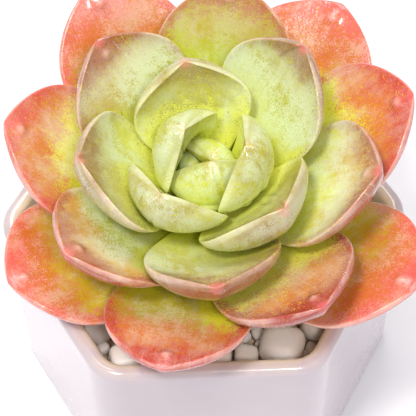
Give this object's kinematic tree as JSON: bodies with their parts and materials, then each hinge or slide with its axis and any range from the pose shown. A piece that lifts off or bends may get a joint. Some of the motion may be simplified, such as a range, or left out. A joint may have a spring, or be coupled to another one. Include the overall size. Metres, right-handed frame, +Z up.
{
  "type": "potted succulent",
  "caption": "Rosette succulent with coral-edged green leaves, leaning slightly, in a white glazed six-sided pot topped with pale pebbles.",
  "frame": {"origin": "middle of the pot's flat underside, where it rests", "axes": "+Z up, along the pot's axis; -Y is the front, the flat side of the pot that the rosette leans towards; +X is to the viewer's right"},
  "size_m": [0.0894, 0.0897, 0.0982],
  "materials": {
    "glaze": "gloss",
    "leaf_inner": "satin",
    "leaf_middle": "satin",
    "leaf_outer": "satin",
    "pebble": "matte",
    "soil": "matte",
    "stem": "matte"
  },
  "bodies": {
    "root": {"leaf_01": "leaf_inner", "leaf_02": "leaf_inner", "leaf_03": "leaf_inner", "leaf_04": "leaf_inner", "leaf_05": "leaf_inner", "leaf_06": "leaf_inner", "leaf_07": "leaf_inner", "leaf_08": "leaf_inner", "leaf_09": "leaf_middle", "leaf_10": "leaf_middle", "leaf_11": "leaf_middle", "leaf_12": "leaf_middle", "leaf_13": "leaf_middle", "leaf_14": "leaf_middle", "leaf_15": "leaf_middle", "leaf_16": "leaf_outer", "leaf_17": "leaf_outer", "leaf_18": "leaf_outer", "leaf_19": "leaf_outer", "leaf_20": "leaf_outer", "leaf_21": "leaf_outer", "leaf_22": "leaf_outer", "leaf_23": "leaf_outer", "pebble_01": "pebble", "pebble_02": "pebble", "pebble_03": "pebble", "pebble_04": "pebble", "pebble_05": "pebble", "pebble_06": "pebble", "pebble_07": "pebble", "pebble_08": "pebble", "pebble_09": "pebble", "pebble_10": "pebble", "pebble_11": "pebble", "pebble_12": "pebble", "pebble_13": "pebble", "pebble_14": "pebble", "pebble_15": "pebble", "pebble_16": "pebble", "pebble_17": "pebble", "pebble_18": "pebble", "pebble_19": "pebble", "pebble_20": "pebble", "pebble_21": "pebble", "pebble_22": "pebble", "pebble_23": "pebble", "pebble_24": "pebble", "pebble_25": "pebble", "pebble_26": "pebble", "pebble_27": "pebble", "pebble_28": "pebble", "pebble_29": "pebble", "pebble_30": "pebble", "pebble_31": "pebble", "pot": "glaze", "soil": "soil", "stem": "stem"}
  },
  "joints": []
}
